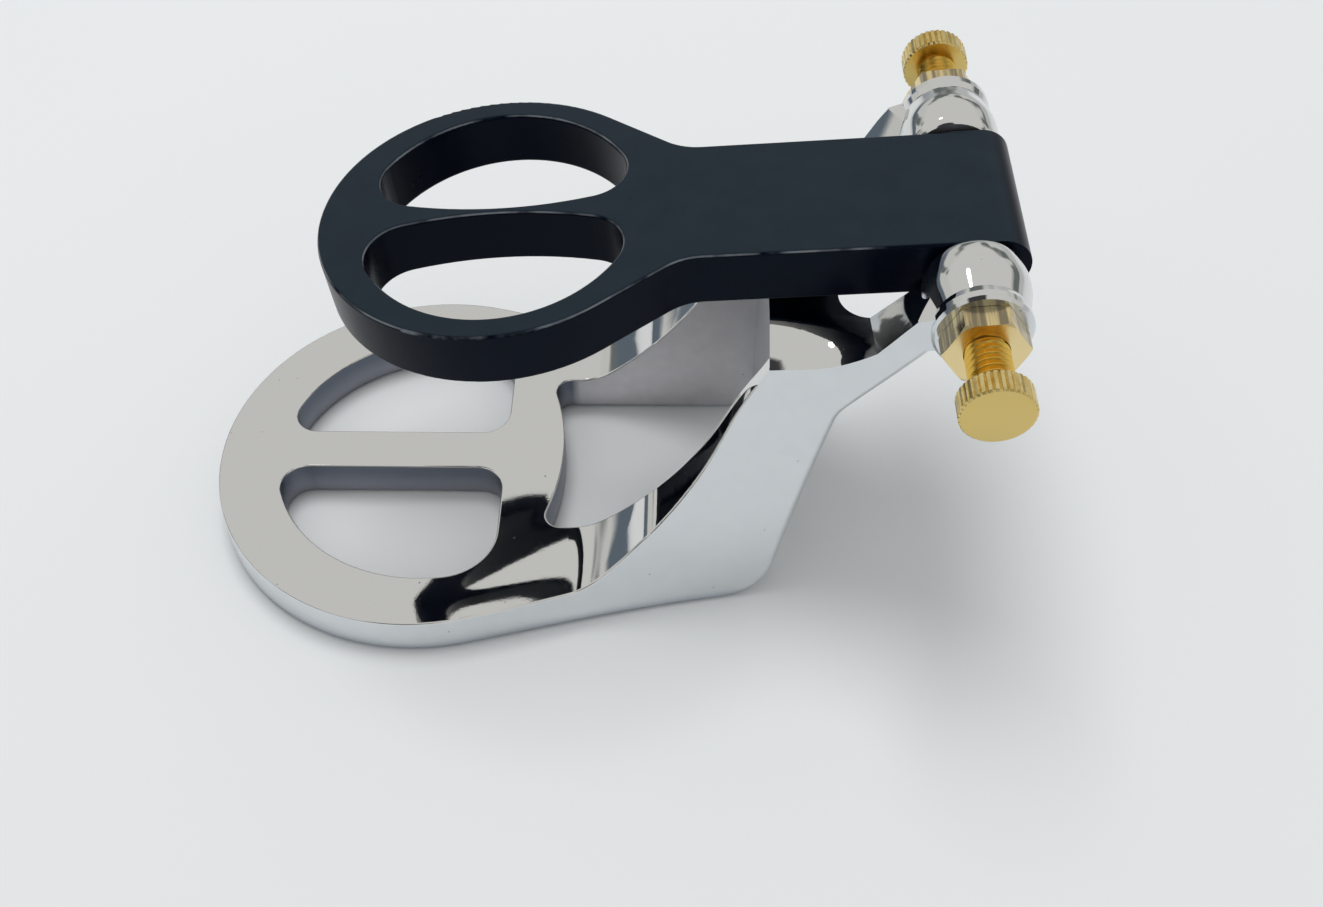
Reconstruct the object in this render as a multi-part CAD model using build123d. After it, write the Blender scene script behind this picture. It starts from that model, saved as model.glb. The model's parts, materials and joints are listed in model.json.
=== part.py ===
from build123d import *
import math
import os

# Small dental hinge articulator. Lengths are millimetres, angles degrees.
# Frame: the origin is on the bench under the centre of the lower ring, +X points from the
# ring towards the hinge, +Z is up, and the object is mirrored about the plane y = 0.

# Hinge axis, parallel to Y
HINGE_X = 80.5
HINGE_Z = 58.1

# Lower ring and the outer walls, which lean inwards with height
RING_TOP = 6.9
RING_R = 35.2
TANGENT_ANGLE = 76.0
WALL_STATIONS = (29.2, 54.0, 61.0, 68.0, 92.0)
WALL_SECTIONS = (
    # height, ring radius, half-widths at the stations
    (0.0, RING_R, (29.0, 24.0, 23.0, 22.4, 22.2)),
    (14.0, 34.7, (26.7, 22.2, 21.8, 21.8, 22.2)),
    (62.0, 32.0, (22.0, 16.4, 19.2, 22.0, 22.4)),
)
WALL_TOP = 70.0
SECTION_HALF = 40.0
WINDOW_R = 26.2
WINDOW_X = 0.9
WINDOW_BACK_X = 12.5
BAR_HALF = 3.9
WINDOW_CORNERS = (((12.5, 40), 9.0), ((12.5, 0), 4.5), ((-40, 0), 4.0))
RING_BACK_X = 22.2
RING_BACK_R = 42.0

# Arms, the cross wall that joins them and the rear notch
ARM_INNER_Y = 16.0
WALL_FRONT_X = 53.9
BRIDGE_TOP = 49.9
SIDE_TOP = 55.0
SHOULDER = (72.0, 59.3)
RAMP_START_X = 24.0
RAMP_TOP = 46.0
RAMP_POINTS = ((31.0, 10.1), (38.5, 17.7), (46.5, 30.4), (50.6, 39.8))
HEEL = (54.8, 0.0)
HEEL_R = 8.0
KNEE = (63.9, 38.9)
KNEE_R = 9.0
UNDER_EAR = (74.8, 54.2)
CREASE_X = 67.7
WALL_FOOT_Z = 8.0
TOP_SECTIONS = (
    # x, then (half-width, height) where the flat middle ends, of a point between, and at the side
    (45.9, (10.5, BRIDGE_TOP), (15.5, 46.9), (20.0, 32.0)),
    (CREASE_X, (12.0, BRIDGE_TOP), (17.0, 51.1), (22.4, 52.6)),
    (HINGE_X, (12.0, 63.1), (17.0, 67.2), (22.4, 72.2)),
)
TOP_EDGE_R = 0.3
FOOT_EDGE_R = 1.0
NOTCH_X = 63.6
NOTCH_HALF = 12.25
NOTCH_R = 4.5

# Ears: half-profile as distance from the mid-plane and radius about the hinge axis
EAR_IN = 12.3
EAR_OUT = 23.5
EAR_PROFILE = ((EAR_IN, 6.1), (14.2, 6.95), (16.8, 7.15), (21.0, 6.3))
EAR_DISC_IN = 22.1
EAR_DISC_R = 6.6
THREAD_BORE_R = 3.0

# Upper member, drawn level about the hinge axis and then lowered by its rest angle
REST_DROOP = 4.35
PLATE_TOP = 5.25
PLATE_T = 8.55
UPPER_RING_X = -64.6
UPPER_RING_R = 25.1
NECK_HALF = 11.8
FLANK_ANGLE = 53.0
FLANK_R = 8.0
UPPER_WINDOW_X = -64.3
UPPER_WINDOW_RX = 19.8
UPPER_WINDOW_RY = 21.5
UPPER_BAR_HALF = 0.6
UPPER_BAR_R = 55.0
UPPER_CORNER_R = 6.0
BARREL_R = PLATE_TOP
TAIL_X = 3.5
TAIL_R = PLATE_T / 2
UPPER_EDGE_R = 0.5

# Pivot screws and lock nuts, M6 with 1 mm pitch
THREAD_R = 2.95
THREAD_ROOT_R = 2.4
PITCH = 1.0
HEAD_IN = 34.2
HEAD_OUT = 37.7
HEAD_R = 4.9
KNURL_COUNT = 36
KNURL_DEPTH = 0.35
THREAD_END = 14.4
NOSE_R = 2.2
SEAT_R = 2.4
SEAT_CLEARANCE = 0.08
TIP_R = 0.5
NUT_IN = 23.55
NUT_OUT = 26.95
NUT_FLATS = 10.0
NUT_TURN = 6.5

# Work planes: local x is X and local y is Z on the side plane
SIDE = Plane(origin=(0, 0, 0), x_dir=(1, 0, 0), z_dir=(0, -1, 0))


def vertex_near(shape, x, y):
    """The vertex of a flat shape that is nearest to a point."""
    return min(shape.vertices(), key=lambda v: math.hypot(v.X - x, v.Y - y))


def mirrored(shape):
    """A shape together with its mirror image across the plane y = 0."""
    return shape + mirror(shape, about=Plane.XZ)


def about_hinge(profile):
    """Turn a profile of (distance along Y, radius) points about the hinge axis."""
    turned = revolve(Plane.XY * profile, axis=Axis.X)
    return Location((HINGE_X, 0, HINGE_Z)) * Rot(0, 0, 90) * turned


# ---- lower member ----

def wall_section(height, ring_r, half_widths):
    """Outline of ring and arms at one height."""
    a = math.radians(TANGENT_ANGLE)
    start = (ring_r * math.cos(a), ring_r * math.sin(a))
    side = [start] + list(zip(WALL_STATIONS, half_widths))
    other = [(x, -y) for x, y in side]
    leave = (math.sin(a), -math.cos(a))
    front = ThreePointArc(other[0], (-ring_r, 0), start)
    upper = Spline(*side, tangents=[leave, (1, 0)])
    lower = Spline(*other, tangents=[(leave[0], -leave[1]), (1, 0)])
    back = Line(side[-1], other[-1])
    return Plane.XY.offset(height) * make_face([front, upper, back, lower])


def outer_edges(faces):
    """Edges that belong to only one of the faces."""
    found = {}
    for edge in faces.edges():
        middle = edge.position_at(0.5)
        found.setdefault((round(middle.X, 2), round(middle.Y, 2), round(middle.Z, 2)), []).append(edge)
    return [same[0] for same in found.values() if len(same) == 1]


def level_faces(shape, height):
    """The flat, level faces at one height."""
    level = shape.faces().filter_by(Axis.Z)
    return level.filter_by(lambda f: abs(f.center().Z - height) < 0.01)


def side_face():
    """Side view of the lower member: ring, ramp, bridge, shoulder, heel."""
    ramp = Spline(
        (WALL_FRONT_X, RAMP_TOP),
        *reversed(RAMP_POINTS),
        (RAMP_START_X, RING_TOP),
        tangents=[(-0.45, -1), (-1, 0)],
    )
    outline = [
        Polyline(
            (RAMP_START_X, RING_TOP), (-RING_R - 2, RING_TOP), (-RING_R - 2, 0),
            HEEL, KNEE, UNDER_EAR, (HINGE_X, HINGE_Z - 3), (HINGE_X, HINGE_Z + 2), (74.5, HINGE_Z + 2),
            SHOULDER, (CREASE_X, SIDE_TOP), (WALL_FRONT_X, SIDE_TOP), (WALL_FRONT_X, RAMP_TOP),
        ),
        ramp,
    ]
    face = make_face(outline)
    face = fillet(vertex_near(face, *HEEL), HEEL_R)
    return fillet(vertex_near(face, *KNEE), KNEE_R)


def ring_windows():
    """The two D-shaped windows, one each side of the central bar."""
    window = Pos(WINDOW_X, 0) * Circle(WINDOW_R) & Pos(WINDOW_BACK_X - 30, BAR_HALF + 20) * Rectangle(60, 40)
    for corner, radius in WINDOW_CORNERS:
        window = fillet(vertex_near(window, *corner), radius)
    return mirrored(extrude(window, RING_TOP + 2))


def middle_opening():
    """The space between the arms, from the ring's back edge to the cross wall."""
    edge_y = ARM_INNER_Y
    centre_x = RING_BACK_X - RING_BACK_R
    edge_x = centre_x + math.sqrt(RING_BACK_R**2 - edge_y**2)
    ring_edge = ThreePointArc((edge_x, -edge_y), (RING_BACK_X, 0), (edge_x, edge_y))
    rest = Polyline((edge_x, edge_y), (WALL_FRONT_X, edge_y), (WALL_FRONT_X, -edge_y), (edge_x, -edge_y))
    face = make_face([ring_edge, rest])
    front = [v for v in face.vertices() if v.X < WALL_FRONT_X - 1]
    return extrude(fillet(front, 2.5), WALL_TOP)


def rear_notch():
    """The slot between the ears that the neck and the hinge barrel swing in."""
    slot = Pos(NOTCH_X + 20, 0) * Rectangle(40, 2 * NOTCH_HALF)
    front = [v for v in slot.vertices() if v.X < NOTCH_X + 1]
    return extrude(fillet(front, NOTCH_R), WALL_TOP)


def top_section(x, middle, bend, edge):
    """Cross-section under the bridge and the ears' front slopes, wider than the casting."""
    across = [(-y, z) for y, z in (edge, bend, middle)]
    outer = SECTION_HALF
    left = ThreePointArc(*across)
    right = ThreePointArc(middle, bend, edge)
    flat = Line(across[2], middle)
    low = Polyline(edge, (outer, edge[1]), (outer, -1), (-outer, -1), (-outer, edge[1]), across[0])
    plane = Plane(origin=(x, 0, 0), x_dir=(0, 1, 0), z_dir=(1, 0, 0))
    return plane * make_face([left, flat, right, low])


def above_top():
    """What is cut away above the bridge and the ears' front slopes."""
    sections = [top_section(*s) for s in TOP_SECTIONS]
    keep = loft(sections[:2], ruled=True) + loft(sections[1:], ruled=True)
    length = TOP_SECTIONS[-1][0] - TOP_SECTIONS[0][0]
    block = Pos(TOP_SECTIONS[0][0] + length / 2, 0, WALL_TOP / 2) * Box(length, 2 * SECTION_HALF, WALL_TOP)
    return block - keep


def ear():
    """One ear, bored for the pivot screw: a domed boss with a disc for the lock nut."""
    dome = Spline(*EAR_PROFILE, tangents=[(0.7, 1), (1, -0.2)])
    rim = Polyline(EAR_PROFILE[-1], (EAR_DISC_IN, EAR_DISC_R), (EAR_OUT - 0.4, EAR_DISC_R))
    face = Polyline(
        (EAR_OUT - 0.4, EAR_DISC_R), (EAR_OUT, EAR_DISC_R - 0.4), (EAR_OUT, 0), (EAR_IN, 0), EAR_PROFILE[0],
    )
    return about_hinge(make_face([dome, rim, face]))


def thread_bore():
    """The tapped hole through one ear, as a plain bore."""
    start = EAR_IN - 1
    end = EAR_OUT + 1
    side = Polyline((start, 0), (end, 0), (end, THREAD_BORE_R), (start, THREAD_BORE_R), (start, 0))
    return about_hinge(make_face(side))


def eased(body):
    """Round the foot's edges, the ring's top edges and the ramps' edges."""
    body = fillet(outer_edges(level_faces(body, 0)), FOOT_EDGE_R)
    ramps = body.faces().filter_by(
        lambda f: f.geom_type == GeomType.EXTRUSION and abs(f.bounding_box().min.X - RAMP_START_X) < 0.5
    )
    edges = outer_edges(level_faces(body, RING_TOP) + ramps)
    edges = [e for e in edges if e.bounding_box().max.X < WALL_FRONT_X - 1]
    return fillet(edges, TOP_EDGE_R)


def lower_frame():
    """The chromed casting: ring, arms, cross wall and ears in one piece."""
    body = loft([wall_section(*s) for s in WALL_SECTIONS])
    body = body & extrude(SIDE * side_face(), 40, both=True)
    body = body - above_top()
    body = body - ring_windows()
    body = body - middle_opening()
    body = body - rear_notch()
    foot = Pos(WALL_FRONT_X, 0, 0) * Box(20, 2 * ARM_INNER_Y, 2 * WALL_FOOT_Z)
    body = eased(body - foot)
    body = body + mirrored(ear())
    return body - mirrored(thread_bore())


# ---- upper member ----

def upper_outline():
    """Plan of ring, flanks and neck, level, measured from the hinge axis."""
    a = math.radians(FLANK_ANGLE)
    leave = (UPPER_RING_X + UPPER_RING_R * math.cos(a), UPPER_RING_R * math.sin(a))
    meet = (leave[0] + (leave[1] - NECK_HALF) / math.tan(math.pi / 2 - a), NECK_HALF)
    ring = ThreePointArc((leave[0], -leave[1]), (UPPER_RING_X - UPPER_RING_R, 0), leave)
    neck = Polyline(
        leave, meet, (0, NECK_HALF), (0, -NECK_HALF), (meet[0], -NECK_HALF), (leave[0], -leave[1]),
    )
    face = make_face([ring, neck])
    for side in (-1, 1):
        face = fillet(vertex_near(face, meet[0], side * meet[1]), FLANK_R)
    return face


def upper_window():
    """One of the two lens-shaped windows, on the +Y side."""
    oval = Pos(UPPER_WINDOW_X, 0) * Ellipse(UPPER_WINDOW_RX, UPPER_WINDOW_RY)
    bulge = Pos(UPPER_WINDOW_X, UPPER_BAR_HALF + UPPER_BAR_R) * Circle(UPPER_BAR_R)
    window = oval & bulge
    return fillet(window.vertices(), UPPER_CORNER_R)


def barrel():
    """Hinge end of the neck: a round barrel that trails into the plate's rounded end."""
    round_axis = Circle(BARREL_R)
    tail = Pos(TAIL_X, PLATE_TOP - TAIL_R) * Circle(TAIL_R)
    section = make_hull(round_axis.edges() + tail.edges())
    return extrude(SIDE * section, NECK_HALF, both=True)


def cone_seat():
    """Coned seat in the barrel's end on the +Y side, as turned about the hinge axis."""
    apex = NECK_HALF - SEAT_R
    seat = make_face(Polyline((apex, 0), (NECK_HALF + 1, 0), (NECK_HALF + 1, SEAT_R + 1), (apex, 0)))
    return about_hinge(seat)


def upper_frame():
    """The black casting: mounting ring, neck and hinge barrel."""
    plate = extrude(upper_outline(), PLATE_T)
    windows = mirrored(extrude(upper_window(), PLATE_T))
    plate = plate - windows
    rims = outer_edges(level_faces(plate, 0)) + outer_edges(level_faces(plate, PLATE_T))
    plate = fillet([e for e in rims if e.center().X < -1], UPPER_EDGE_R)
    plate = Pos(0, 0, PLATE_TOP - PLATE_T) * plate
    body = plate + barrel()
    body = Location((HINGE_X, 0, HINGE_Z)) * Rot(0, -REST_DROOP, 0) * body
    return body - mirrored(cone_seat())


# ---- pivot screws and lock nuts, on the +Y side ----

def thread_profile():
    """Points of the thread's saw-tooth outline, from the head inwards."""
    turns = int((HEAD_IN - THREAD_END) / PITCH)
    points = []
    for i in range(turns):
        crest = HEAD_IN - PITCH * (i + 0.5)
        points.append((crest + 0.45 * PITCH, THREAD_ROOT_R))
        points.append((crest + 0.06 * PITCH, THREAD_R))
        points.append((crest - 0.06 * PITCH, THREAD_R))
    return points


def knurled_head():
    """Screw head with straight V flutes round its rim."""
    profile = Polyline(
        (HEAD_IN, 0), (HEAD_IN, HEAD_R - 0.3), (HEAD_IN + 0.3, HEAD_R), (HEAD_OUT - 0.3, HEAD_R),
        (HEAD_OUT, HEAD_R - 0.3), (HEAD_OUT, 0), (HEAD_IN, 0),
    )
    head = about_hinge(make_face(profile))
    flute = RegularPolygon(KNURL_DEPTH * 1.2, 3, rotation=180)
    flutes = PolarLocations(HEAD_R + KNURL_DEPTH * 0.2, KNURL_COUNT) * flute
    plane = Plane(origin=(HINGE_X, HEAD_IN - 1, HINGE_Z), x_dir=(1, 0, 0), z_dir=(0, 1, 0))
    return head - extrude(plane * Sketch(children=flutes), HEAD_OUT - HEAD_IN + 2)


def pivot_screw():
    """Knurled screw: head, threaded shank and a coned nose that sits in the barrel's seat."""
    apex = NECK_HALF - SEAT_R + SEAT_CLEARANCE
    shank = Polyline(
        (HEAD_IN + 1, 0), (HEAD_IN + 1, THREAD_ROOT_R), *thread_profile(), (THREAD_END, THREAD_ROOT_R),
        (THREAD_END - 0.4, NOSE_R), (apex + NOSE_R, NOSE_R), (apex + TIP_R, TIP_R), (apex + TIP_R, 0),
        (HEAD_IN + 1, 0),
    )
    return knurled_head() + about_hinge(make_face(shank))


def lock_nut():
    """Hexagon lock nut with bevelled corners."""
    plane = Plane(origin=(HINGE_X, NUT_IN, HINGE_Z), x_dir=(1, 0, 0), z_dir=(0, 1, 0))
    hexagon = RegularPolygon(NUT_FLATS / 2, 6, major_radius=False, rotation=-NUT_TURN)
    nut = extrude(plane * (hexagon - Circle(THREAD_BORE_R)), NUT_OUT - NUT_IN)
    corner = NUT_FLATS / math.sqrt(3)
    bevel = Polyline(
        (NUT_IN, 0), (NUT_IN, corner - 0.5), (NUT_IN + 0.3, corner), (NUT_OUT - 0.3, corner),
        (NUT_OUT, corner - 0.5), (NUT_OUT, 0), (NUT_IN, 0),
    )
    return nut & about_hinge(make_face(bevel))


def write(node, shape):
    """Write one node as a STEP file."""
    shape.label = node
    export_step(shape, f"parts/{node}.step")


os.makedirs("parts", exist_ok=True)
write("lower_frame", lower_frame())
write("upper_frame", upper_frame())
for node, shape in (("pivot_screw", pivot_screw()), ("lock_nut", lock_nut())):
    write(f"{node}_left", shape)
    write(f"{node}_right", mirror(shape, about=Plane.XZ))
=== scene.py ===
import bmesh
import bpy
import json
import math
from mathutils import Matrix, Vector

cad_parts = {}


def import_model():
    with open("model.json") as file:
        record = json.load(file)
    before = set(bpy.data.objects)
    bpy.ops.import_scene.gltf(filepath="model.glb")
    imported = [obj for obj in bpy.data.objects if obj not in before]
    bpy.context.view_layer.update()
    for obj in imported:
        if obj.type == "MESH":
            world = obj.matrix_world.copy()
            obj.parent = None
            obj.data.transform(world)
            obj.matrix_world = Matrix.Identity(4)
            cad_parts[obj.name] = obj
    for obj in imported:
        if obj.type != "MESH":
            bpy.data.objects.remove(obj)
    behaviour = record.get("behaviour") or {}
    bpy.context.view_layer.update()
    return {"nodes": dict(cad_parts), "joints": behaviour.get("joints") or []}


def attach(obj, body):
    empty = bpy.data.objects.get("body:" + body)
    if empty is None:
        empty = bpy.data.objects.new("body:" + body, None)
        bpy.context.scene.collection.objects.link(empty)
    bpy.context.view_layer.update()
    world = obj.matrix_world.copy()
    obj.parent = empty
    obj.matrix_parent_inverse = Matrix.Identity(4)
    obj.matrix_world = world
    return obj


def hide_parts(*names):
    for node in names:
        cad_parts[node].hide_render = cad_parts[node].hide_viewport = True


# Small dental hinge articulator: chromed lower frame, black upper ring, brass pivot screws and nuts.
# Metres, in the model's own frame: +X from the rings to the hinge, +Z up, y = 0 the mirror plane.

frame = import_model()
nodes = frame["nodes"]
MM = 0.001

# Hinge axis, from the record's joint
HINGE = Vector(next(j["pos_m"] for j in frame["joints"] if j["name"] == "upper_hinge"))
# Which way along Y each side's screw points
SIDES = {"left": 1, "right": -1}


# ---- node helpers ----

class Nodes:
    """Short calls for building the node tree of one material or world."""

    def __init__(self, owner):
        self.owner = owner
        owner.use_nodes = True
        self.tree = owner.node_tree
        shaders = ("BSDF_PRINCIPLED", "BACKGROUND")
        self.shader = next(node for node in self.tree.nodes if node.type in shaders)

    def new(self, kind, **settings):
        node = self.tree.nodes.new(kind)
        for key, value in settings.items():
            setattr(node, key, value)
        return node

    def link(self, source, target):
        self.tree.links.new(source, target)

    def put(self, value, socket):
        """Link a socket, or set a plain number or colour."""
        if isinstance(value, bpy.types.NodeSocket):
            self.link(value, socket)
        else:
            socket.default_value = value

    def math(self, operation, a, b=0.0, clamp=False):
        node = self.new("ShaderNodeMath", operation=operation, use_clamp=clamp)
        self.put(a, node.inputs[0])
        self.put(b, node.inputs[1])
        return node.outputs[0]

    def product(self, first, *others):
        for other in others:
            first = self.math("MULTIPLY", first, other)
        return first

    def without(self, mask):
        """1 where the mask is 0, and 0 where it is 1."""
        return self.math("SUBTRACT", 1.0, mask)

    def ramp(self, value, low, high):
        """0 below low, 1 above high, smooth between."""
        node = self.new("ShaderNodeMapRange", interpolation_type="SMOOTHSTEP")
        self.put(value, node.inputs["Value"])
        node.inputs["From Min"].default_value = low
        node.inputs["From Max"].default_value = high
        return node.outputs[0]

    def mix(self, factor, a, b):
        """Colour a where the factor is 0, colour b where it is 1."""
        node = self.new("ShaderNodeMix", data_type="RGBA")
        self.put(factor, node.inputs["Factor"])
        self.put(a, node.inputs["A"])
        self.put(b, node.inputs["B"])
        return node.outputs["Result"]

    def between(self, factor, a, b):
        """Number a where the factor is 0, number b where it is 1."""
        node = self.new("ShaderNodeMix", data_type="FLOAT")
        self.put(factor, node.inputs["Factor"])
        self.put(a, node.inputs["A"])
        self.put(b, node.inputs["B"])
        return node.outputs["Result"]

    def place(self, scale=(1, 1, 1)):
        """Object coordinates, scaled."""
        coords = self.new("ShaderNodeTexCoord")
        mapping = self.new("ShaderNodeMapping")
        mapping.inputs["Scale"].default_value = scale
        self.link(coords.outputs["Object"], mapping.inputs["Vector"])
        return mapping.outputs[0]

    def noise(self, scale, detail=2.0, stretch=(1, 1, 1), roughness=0.5):
        node = self.new("ShaderNodeTexNoise")
        node.inputs["Scale"].default_value = scale
        node.inputs["Detail"].default_value = detail
        node.inputs["Roughness"].default_value = roughness
        self.link(self.place(stretch), node.inputs["Vector"])
        return node.outputs["Fac"]

    def specks(self, scale, size):
        """1 inside small round specks, 0 elsewhere."""
        node = self.new("ShaderNodeTexVoronoi")
        node.inputs["Scale"].default_value = scale
        self.link(self.place(), node.inputs["Vector"])
        return self.math("LESS_THAN", node.outputs["Distance"], size)

    def bump(self, height, strength, distance, normal=None):
        """A normal bent by a height map, on top of another normal where one is given."""
        node = self.new("ShaderNodeBump")
        self.put(strength, node.inputs["Strength"])
        node.inputs["Distance"].default_value = distance
        self.link(height, node.inputs["Height"])
        if normal is not None:
            self.link(normal, node.inputs["Normal"])
        return node.outputs[0]

    def axes(self, output="Object"):
        """x, y and z of the object coordinates or of the object-space normal."""
        coords = self.new("ShaderNodeTexCoord")
        split = self.new("ShaderNodeSeparateXYZ")
        self.link(coords.outputs[output], split.inputs[0])
        return split.outputs


def put_on(piece, material):
    piece.data.materials.clear()
    piece.data.materials.append(material)


# ---- materials ----

# Ring's polished top: where its crown is highest, where it runs out, and its height
CROWN_IN, CROWN_MIDDLE, CROWN_OUT = 22 * MM, 30.7 * MM, 39.4 * MM
RING_CROWN = 0.26 * MM
# Radii between which the windows' walls end and the ring's outer wall begins
WINDOWS_END = (27.5 * MM, 29 * MM)
# Polished facet on each ramp: it fades in along X, stops at the cross wall, and its inner border
# leaves the arm's inner edge in a curve
FACET_FADE = (35.5 * MM, 39 * MM)
FACET_END = 53.5 * MM
FACET_BORDER_Y = 16.5 * MM
FACET_RISE = 0.58
FACET_LEAN = 0.2


def facet_mask(n, x, across):
    """1 on the ramp's facet, which narrows to a point at the top."""
    straight = n.product(n.math("SUBTRACT", x, 47 * MM), 0.12)
    late = n.math("MAXIMUM", n.math("SUBTRACT", x, 50.5 * MM), 0.0)
    border = n.math("ADD", straight, n.product(late, late, 0.36 / MM))
    beyond = n.math("SUBTRACT", n.math("SUBTRACT", across, FACET_BORDER_Y), border)
    along = n.product(n.ramp(x, *FACET_FADE), n.math("LESS_THAN", x, FACET_END))
    return n.product(n.ramp(beyond, 0.0, 0.3 * MM), along)


def chrome_shape(n, x, z, across, level_r, polished):
    """Normal left by polishing: a crown across the ring's top, a flatter facet on each ramp."""
    rise = n.ramp(level_r, CROWN_IN, CROWN_MIDDLE)
    fall = n.ramp(level_r, CROWN_MIDDLE, CROWN_OUT)
    crown = n.product(n.math("SUBTRACT", rise, fall), RING_CROWN)
    crowned = n.bump(crown, polished, 1.0)
    lean = n.math("ADD", n.product(z, -FACET_RISE), n.product(across, -FACET_LEAN))
    return n.bump(lean, n.product(facet_mask(n, x, across), polished), 1.0, crowned)


def chrome():
    """Chromed casting: polished top faces, as-plated outer walls darkened towards the foot as painted
    shade, dull inner walls, and the windows' walls painted dark as painted shade.
    """
    n = Nodes(bpy.data.materials.new("chrome_casting"))
    x, y, z = n.axes()
    normal = n.axes("Normal")
    across = n.math("ABSOLUTE", y)
    level_r = n.math("SQRT", n.math("ADD", n.product(x, x), n.product(y, y)))
    polished = n.ramp(normal["Z"], 0.22, 0.42)
    # the arms' inner faces, and the walls of the ring's windows
    facing_in = n.product(n.math("SIGN", y), n.product(normal["Y"], -1.0))
    between_arms = n.product(n.ramp(facing_in, 0.5, 0.8), n.ramp(x, 20 * MM, 24 * MM))
    in_ring = n.without(n.ramp(level_r, *WINDOWS_END))
    dull = n.product(n.math("MAXIMUM", between_arms, in_ring), n.without(polished))
    slow = n.noise(95, 1)
    cloud = n.noise(420, 3)
    fine = n.noise(2600, 3)
    pits = n.product(n.specks(330, 0.045), n.ramp(n.noise(60, 2), 0.5, 0.56))

    rough = n.between(dull, n.between(polished, 0.20, 0.04), 0.40)
    uneven = n.product(n.math("SUBTRACT", cloud, 0.5), 0.08)
    n.put(n.math("MAXIMUM", n.math("ADD", rough, uneven), 0.03), n.shader.inputs["Roughness"])
    n.shader.inputs["Metallic"].default_value = 1.0

    plated = n.mix(cloud, (0.67, 0.70, 0.72, 1), (0.74, 0.77, 0.785, 1))
    # painted shade: the outer walls turn bluish dark towards the foot, standing in for the floor's contact
    # shadow seen in the chrome
    plated = n.mix(n.ramp(z, 0, 2.6 * MM), (0.40, 0.44, 0.50, 1), plated)
    mirror = n.mix(fine, (0.73, 0.73, 0.72, 1), (0.76, 0.76, 0.75, 1))
    walls = n.mix(cloud, (0.56, 0.545, 0.565, 1), (0.68, 0.665, 0.685, 1))
    # painted shade: the windows' walls are painted dark slate, darkest towards their top, standing in for
    # the shadowed floor they reflect
    window = n.mix(n.ramp(z, 0.5 * MM, 6 * MM), (0.30, 0.31, 0.35, 1), (0.14, 0.16, 0.20, 1))
    colour = n.mix(dull, n.mix(polished, plated, mirror), n.mix(in_ring, walls, window))
    n.put(n.mix(pits, colour, (0.22, 0.23, 0.25, 1)), n.shader.inputs["Base Color"])

    shaped = chrome_shape(n, x, z, across, level_r, polished)
    wave = n.bump(slow, 1.0, 0.045 * MM, shaped)
    grain = n.bump(fine, 0.05, 0.04 * MM, wave)
    n.put(n.bump(pits, 0.3, -0.03 * MM, grain), n.shader.inputs["Normal"])
    return n.owner


def black_coat():
    """Satin black coating: the top painted greyer and the sides near black as painted light and shade, a
    painted highlight along the rounded edges, with fine grain.
    """
    n = Nodes(bpy.data.materials.new("black_coat"))
    x = n.axes()["X"]
    nz = n.axes("Normal")["Z"]
    fine = n.noise(3200, 3)
    slow = n.noise(220, 3)
    # painted light and shade: the top is painted greyer and the sides near black, for how each face
    # catches the light
    top = n.mix(slow, (0.010, 0.016, 0.023, 1), (0.016, 0.024, 0.032, 1))
    side = n.mix(slow, (0.0004, 0.0010, 0.0045, 1), (0.0010, 0.0020, 0.0075, 1))
    coat = n.mix(n.ramp(nz, 0.80, 0.98), side, top)
    # the rounded upper edges, short of the hinge barrel
    edge = n.product(n.ramp(nz, 0.35, 0.55), n.without(n.ramp(nz, 0.75, 0.92)))
    edge = n.product(edge, n.without(n.ramp(x, 66 * MM, 69 * MM)))
    # painted highlight: a lighter base colour along these edges, broken up by noise, stands in for edge
    # glints
    edge_painted_glint = n.product(edge, n.ramp(n.noise(180, 3), 0.30, 0.62))
    n.put(n.mix(edge_painted_glint, coat, (0.13, 0.145, 0.16, 1)), n.shader.inputs["Base Color"])
    n.shader.inputs["Specular IOR Level"].default_value = 0.10
    n.shader.inputs["Specular Tint"].default_value = (0.55, 0.75, 1.0, 1)
    n.put(n.between(slow, 0.24, 0.34), n.shader.inputs["Roughness"])
    grain = n.bump(fine, 0.12, 0.04 * MM)
    n.put(n.bump(slow, 0.08, 0.1 * MM, grain), n.shader.inputs["Normal"])
    return n.owner


def brass(name, light, dark, roughness, marks_along, thread=None):
    """Cut brass with tool marks: end faces in their own colour as painted light, and another colour in the
    thread where one is given.
    """
    n = Nodes(bpy.data.materials.new(name))
    from_middle = n.math("ABSOLUTE", n.axes()["Y"])
    marks = n.noise(900, 3, marks_along, 0.6)
    slow = n.noise(300, 2)
    # painted light: faces across the axis get their own colour for how the end faces catch the light;
    # tool-mark streaks colour the rest
    end_face_painted_light = n.ramp(n.math("ABSOLUTE", n.axes("Normal")["Y"]), 0.6, 0.9)
    streaks = n.math("SUBTRACT", n.ramp(marks, 0.40, 0.60), end_face_painted_light, clamp=True)
    colour = n.mix(n.math("MAXIMUM", streaks, end_face_painted_light), dark, light)
    if thread is not None:
        before_head = n.without(n.ramp(from_middle, HEAD_IN - 0.3 * MM, HEAD_IN - 0.05 * MM))
        colour = n.mix(before_head, colour, thread)
    n.put(colour, n.shader.inputs["Base Color"])
    n.shader.inputs["Metallic"].default_value = 1.0
    n.put(n.between(slow, roughness - 0.04, roughness + 0.06), n.shader.inputs["Roughness"])
    n.put(n.bump(marks, 0.12, 0.02 * MM), n.shader.inputs["Normal"])
    return n.owner


# ---- pivot screws ----

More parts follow.
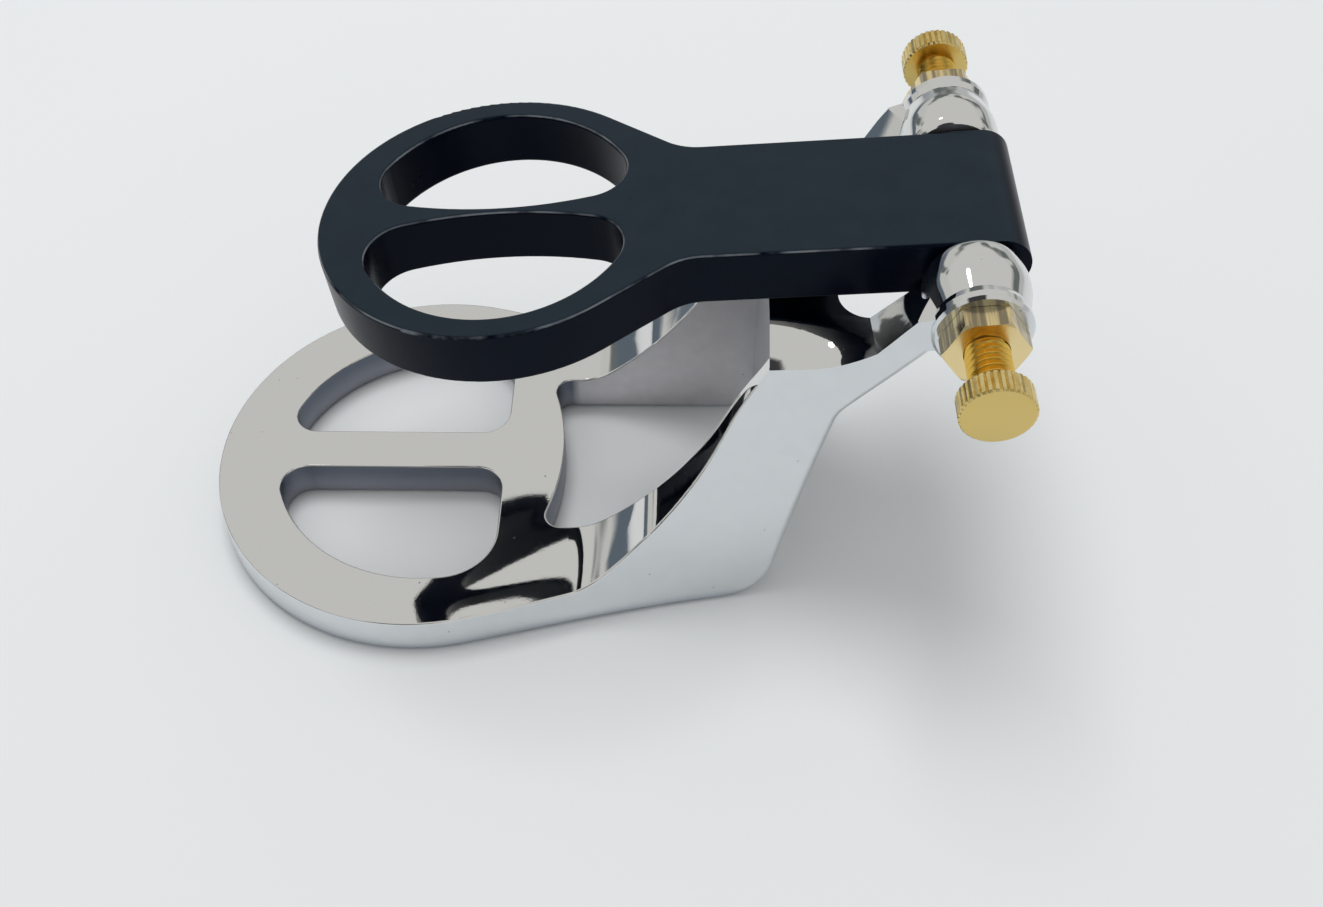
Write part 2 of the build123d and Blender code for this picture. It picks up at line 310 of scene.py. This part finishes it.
# M6 with 1 mm pitch. Places along Y are distances from the middle plane.
PITCH = 1.0 * MM
CREST_R = 2.95 * MM
ROOT_R = 2.40 * MM
THREAD_FROM = 14.4 * MM
HEAD_IN = 34.2 * MM
HEAD_OUT = 37.7 * MM
HEAD_R = 4.9 * MM
RIM_R = HEAD_R - 0.30 * MM
BEVEL = 0.25 * MM
KNURLS = 36
KNURL_DEPTH = 0.24 * MM
FLUTE_SHARE = 0.5
POINTS_PER_FLUTE = 8
NOSE_R = 2.2 * MM
NOSE_TIP = 9.98 * MM
NOSE_TIP_R = 0.5 * MM
CONE_APEX = 9.48 * MM
TURN_STEPS = 72


def ring_points(y, radii):
    """Points round the screw's own axis, which is +Y before it is placed."""
    count = len(radii)
    return [
        Vector((r * math.sin(2 * math.pi * i / count), y, r * math.cos(2 * math.pi * i / count)))
        for i, r in enumerate(radii)
    ]


def skin(mesh, rows):
    """Quads between rows of points that close on themselves."""
    made = [[mesh.verts.new(p) for p in row] for row in rows]
    for a, b in zip(made, made[1:]):
        for i in range(len(a)):
            j = (i + 1) % len(a)
            mesh.faces.new((a[i], a[j], b[j], b[i]))
    return made


def cap(mesh, row, flip):
    mesh.faces.new(row if flip else list(reversed(row)))


def screw_head(mesh):
    """Head with straight V flutes and flat lands, bevelled at each end."""
    count = KNURLS * POINTS_PER_FLUTE
    knurl = []
    for i in range(count):
        from_valley = abs((i % POINTS_PER_FLUTE) / POINTS_PER_FLUTE - 0.5) * 2
        knurl.append(HEAD_R - KNURL_DEPTH * max(0.0, 1 - from_valley / FLUTE_SHARE))
    rows = [
        ring_points(HEAD_IN, [2.0 * MM] * count),
        ring_points(HEAD_IN, [HEAD_R - 0.45 * MM] * count),
        ring_points(HEAD_IN + 0.02 * MM, [RIM_R] * count),
        ring_points(HEAD_IN + BEVEL, knurl),
        ring_points(HEAD_OUT - BEVEL, knurl),
        ring_points(HEAD_OUT - 0.02 * MM, [RIM_R + 0.02 * MM] * count),
        ring_points(HEAD_OUT, [RIM_R - 0.04 * MM] * count),
    ]
    made = skin(mesh, rows)
    cap(mesh, made[0], False)
    cap(mesh, made[-1], True)


def thread(mesh):
    """Right-hand thread as a swept ridge, its ends turned down to the root."""
    profile = ((0.0, ROOT_R), (0.10, ROOT_R), (0.44, CREST_R), (0.56, CREST_R), (0.90, ROOT_R))
    turns = int((HEAD_IN - THREAD_FROM) / PITCH) + 3
    rows = []
    for turn in range(turns):
        for phase, radius in profile:
            row = []
            for i in range(TURN_STEPS):
                angle = 2 * math.pi * i / TURN_STEPS
                y = THREAD_FROM + PITCH * (turn - 1.5 + phase + i / TURN_STEPS)
                inside = THREAD_FROM + 0.3 * PITCH < y < HEAD_IN - 0.2 * PITCH
                r = radius if inside else ROOT_R
                y = min(max(y, THREAD_FROM), HEAD_IN + 0.1 * MM)
                row.append(Vector((r * math.sin(angle), y, r * math.cos(angle))))
            rows.append(row)
    # the seam: a row runs on into the row one pitch further out
    verts = [[mesh.verts.new(p) for p in row] for row in rows]
    per_turn = len(profile)
    for k in range(len(verts) - 1):
        for i in range(TURN_STEPS):
            if i + 1 < TURN_STEPS:
                a, b = verts[k][i], verts[k][i + 1]
                c, d = verts[k + 1][i + 1], verts[k + 1][i]
            else:
                if k + per_turn + 1 >= len(verts):
                    continue
                a, b = verts[k][i], verts[k + per_turn][0]
                c, d = verts[k + per_turn + 1][0], verts[k + 1][i]
            mesh.faces.new((a, b, c, d))


def screw_nose(mesh):
    """Turned nose: the cone that sits in the barrel, and a short plain shank up to the thread."""
    stations = (
        (NOSE_TIP, 0.35 * MM), (NOSE_TIP + 0.15 * MM, NOSE_TIP_R), (CONE_APEX + NOSE_R, NOSE_R),
        (14.0 * MM, NOSE_R), (THREAD_FROM, ROOT_R),
    )
    made = skin(mesh, [ring_points(y, [r] * TURN_STEPS) for y, r in stations])
    cap(mesh, made[0], False)
    cap(mesh, made[-1], True)


def pivot_screw(side, material):
    """One whole screw, shown in place of the CAD one. The right one is the left one turned about Z."""
    mesh = bmesh.new()
    screw_head(mesh)
    thread(mesh)
    screw_nose(mesh)
    bmesh.ops.remove_doubles(mesh, verts=mesh.verts, dist=0.5e-6)
    bmesh.ops.dissolve_degenerate(mesh, edges=mesh.edges, dist=0.5e-6)
    bmesh.ops.recalc_face_normals(mesh, faces=mesh.faces)
    data = bpy.data.meshes.new(f"screw_{side}")
    turn = 0 if SIDES[side] > 0 else math.pi
    mesh.transform(Matrix.Translation(HINGE) @ Matrix.Rotation(turn, 4, "Z"))
    mesh.to_mesh(data)
    mesh.free()
    data.shade_smooth()
    data.set_sharp_from_angle(angle=math.radians(25))
    piece = bpy.data.objects.new(f"brass_screw_{side}", data)
    bpy.context.scene.collection.objects.link(piece)
    put_on(piece, material)
    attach(piece, f"pivot_screw_{side}")
    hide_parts(f"pivot_screw_{side}")


# ---- stage ----

def floor():
    """Plain pale paper, a hair below the foot."""
    data = bpy.data.meshes.new("floor")
    reach = 3.0
    corners = [(-reach, -reach, 0), (reach, -reach, 0), (reach, reach, 0), (-reach, reach, 0)]
    data.from_pydata(corners, [], [(0, 1, 2, 3)])
    piece = bpy.data.objects.new("floor", data)
    bpy.context.scene.collection.objects.link(piece)
    piece.location.z = -0.02 * MM
    n = Nodes(bpy.data.materials.new("paper"))
    paper = n.mix(n.noise(9, 2), (0.715, 0.735, 0.745, 1), (0.735, 0.752, 0.76, 1))
    n.put(paper, n.shader.inputs["Base Color"])
    n.shader.inputs["Roughness"].default_value = 0.7
    n.shader.inputs["Specular IOR Level"].default_value = 0.2
    put_on(piece, n.owner)


def light(name, toward, distance, size, power):
    """A round area light in a direction from the object, aimed at it."""
    data = bpy.data.lights.new(name, "AREA")
    data.shape = "DISK"
    data.size = size
    data.energy = power
    lamp = bpy.data.objects.new(name, data)
    bpy.context.scene.collection.objects.link(lamp)
    aim = Vector((40 * MM, 0, 20 * MM))
    lamp.location = aim + Vector(toward).normalized() * distance
    lamp.rotation_euler = Vector(toward).to_track_quat("Z", "Y").to_euler()
    return lamp


def world():
    """Soft white room for light; what the metal reflects also has a dark horizon and a dark viewer."""
    n = Nodes(bpy.data.worlds.new("room"))
    coords = n.new("ShaderNodeTexCoord")
    split = n.new("ShaderNodeSeparateXYZ")
    n.link(coords.outputs["Generated"], split.inputs[0])
    x, _, z = split.outputs
    ceiling = (0.67, 0.665, 0.645, 1)
    patches = n.new("ShaderNodeTexNoise")
    patches.inputs["Scale"].default_value = 3.2
    patches.inputs["Detail"].default_value = 1.0
    n.link(coords.outputs["Generated"], patches.inputs["Vector"])
    wall = n.mix(n.ramp(patches.outputs["Fac"], 0.42, 0.56), (0.15, 0.165, 0.16, 1), (0.62, 0.62, 0.60, 1))
    room = n.mix(n.ramp(z, 0.36, 0.46), wall, ceiling)
    # the horizon is darker on the rings' side
    horizon = n.mix(n.ramp(x, -0.55, 0.0), (0.12, 0.15, 0.185, 1), (0.52, 0.53, 0.54, 1))
    room = n.mix(n.ramp(z, 0.10, 0.16), horizon, room)
    room = n.mix(n.ramp(z, -0.10, -0.04), (0.5, 0.51, 0.53, 1), room)
    # somebody stands where the camera is
    dot = n.new("ShaderNodeVectorMath", operation="DOT_PRODUCT")
    n.link(coords.outputs["Generated"], dot.inputs[0])
    dot.inputs[1].default_value = (CAMERA_AT - HINGE).normalized()
    room = n.mix(n.ramp(dot.outputs["Value"], 0.955, 0.975), room, (0.05, 0.05, 0.055, 1))
    path = n.new("ShaderNodeLightPath")
    soft = n.mix(path.outputs["Is Camera Ray"], (0.66, 0.66, 0.66, 1), (0.79, 0.80, 0.81, 1))
    n.link(n.mix(path.outputs["Is Glossy Ray"], soft, room), n.shader.inputs["Color"])
    bpy.context.scene.world = n.owner


# The photograph's viewing angle, solved from the object's own dimensions
CAMERA_AT = Vector((42.459, -153.808, 187.591)) * MM
PITCH_DOWN = math.radians(49.688)
YAW = math.radians(-1.494)
ROLL = math.radians(-0.63)
LENS_MM = 38.742
SENSOR_MM = 36.0


def camera():
    """Camera at the photograph's viewing angle, looking along +Y and down."""
    forward = math.cos(PITCH_DOWN)
    ahead = Vector((math.sin(YAW) * forward, math.cos(YAW) * forward, -math.sin(PITCH_DOWN)))
    level = Vector((math.cos(YAW), -math.sin(YAW), 0))
    upright = level.cross(ahead)
    right = math.cos(ROLL) * level + math.sin(ROLL) * upright
    above = -math.sin(ROLL) * level + math.cos(ROLL) * upright
    turn = Matrix((right, above, -ahead)).transposed().to_4x4()
    data = bpy.data.cameras.new("camera")
    data.lens = LENS_MM
    data.sensor_width = SENSOR_MM
    data.clip_start = 0.01
    view = bpy.data.objects.new("camera", data)
    view.matrix_world = Matrix.Translation(CAMERA_AT) @ turn
    bpy.context.scene.collection.objects.link(view)
    bpy.context.scene.camera = view


def make():
    """The whole scene: camera, stage, light, and the model's materials and display screws."""
    camera()
    floor()
    world()
    key = light("key", (-0.11, 0.24, 0.97), 1.2, 0.62, 7.0)
    key.visible_glossy = False
    window = light("window_glint", (-0.35, 0.30, 0.90), 1.3, 0.16, 0.25)
    window.visible_diffuse = False
    bpy.context.scene.view_settings.view_transform = "Standard"
    put_on(nodes["lower_frame"], chrome())
    put_on(nodes["upper_frame"], black_coat())
    milled = brass("brass_milled", (0.84, 0.68, 0.36, 1), (0.30, 0.25, 0.16, 1), 0.22, (1, 0.05, 1))
    turned = brass(
        "brass_turned", (0.70, 0.53, 0.19, 1), (0.80, 0.64, 0.30, 1), 0.24, (1, 1, 1),
        thread=(0.78, 0.50, 0.10, 1),
    )
    for side in SIDES:
        put_on(nodes[f"lock_nut_{side}"], milled)
        pivot_screw(side, turned)


make()
